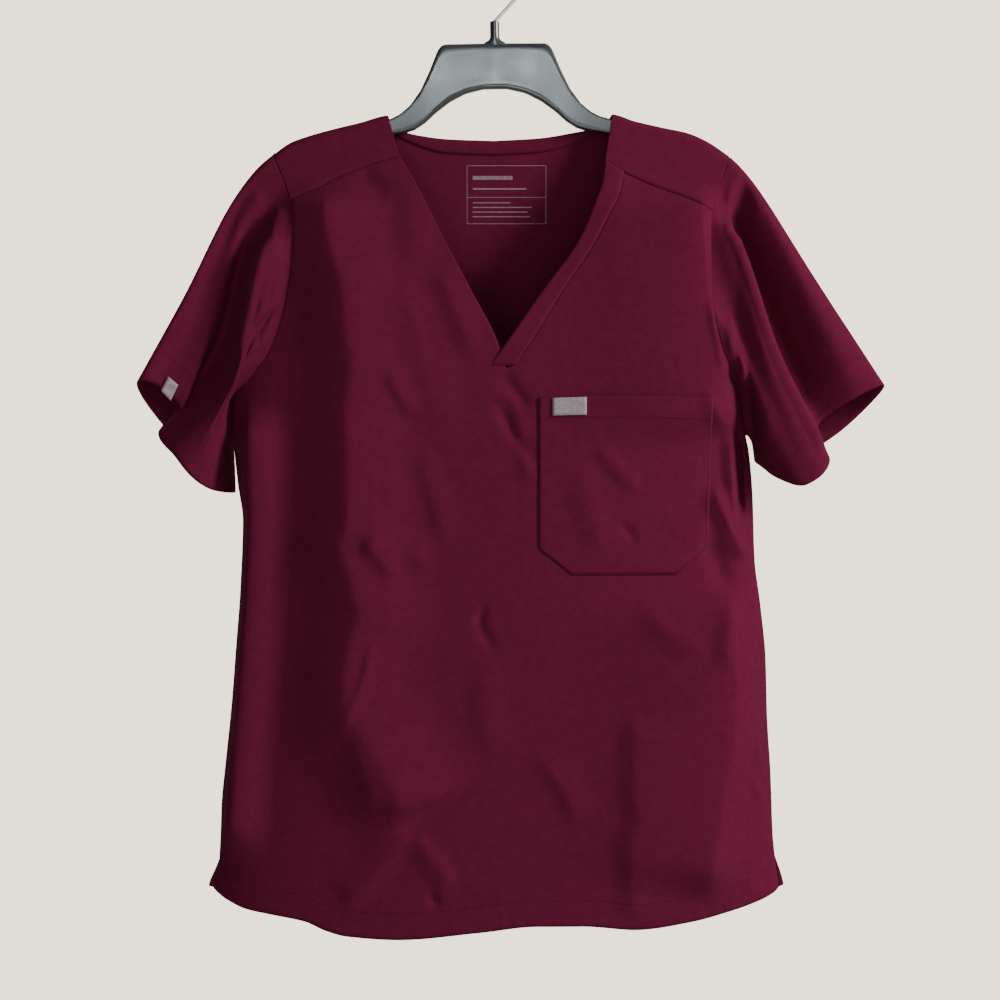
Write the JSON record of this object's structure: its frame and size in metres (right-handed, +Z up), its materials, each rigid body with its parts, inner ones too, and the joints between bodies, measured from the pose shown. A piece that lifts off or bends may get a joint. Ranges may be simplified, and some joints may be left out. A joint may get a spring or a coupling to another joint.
{
  "type": "medical scrub top on a clothes hanger",
  "caption": "V-neck short-sleeved medical scrub top with a chest patch pocket and side vents, hanging on a moulded clothes hanger with a wire hook.",
  "frame": {"origin": "the hook's inner top, where the rail carries it", "axes": "+X to the wearer's left, which is the viewer's right; +Y to the garment's back; +Z up, against gravity"},
  "size_m": [0.6514, 0.0997, 0.8488],
  "materials": {
    "cloth": "matte woven burgundy cloth with a faint sheen",
    "label": "bare woven label, grey-mauve",
    "plastic": "semi-gloss black moulding",
    "steel": "bright drawn wire"
  },
  "bodies": {
    "root": {"front_panel": "cloth", "back_panel": "cloth", "neckband": "cloth", "back_neck_facing": "cloth", "sleeve_wearer_right": "cloth", "sleeve_wearer_left": "cloth", "chest_pocket": "cloth", "pocket_label_tab": "label", "sleeve_label_tab": "label", "hanger_body": "plastic", "hanger_hook": "steel"}
  },
  "joints": []
}
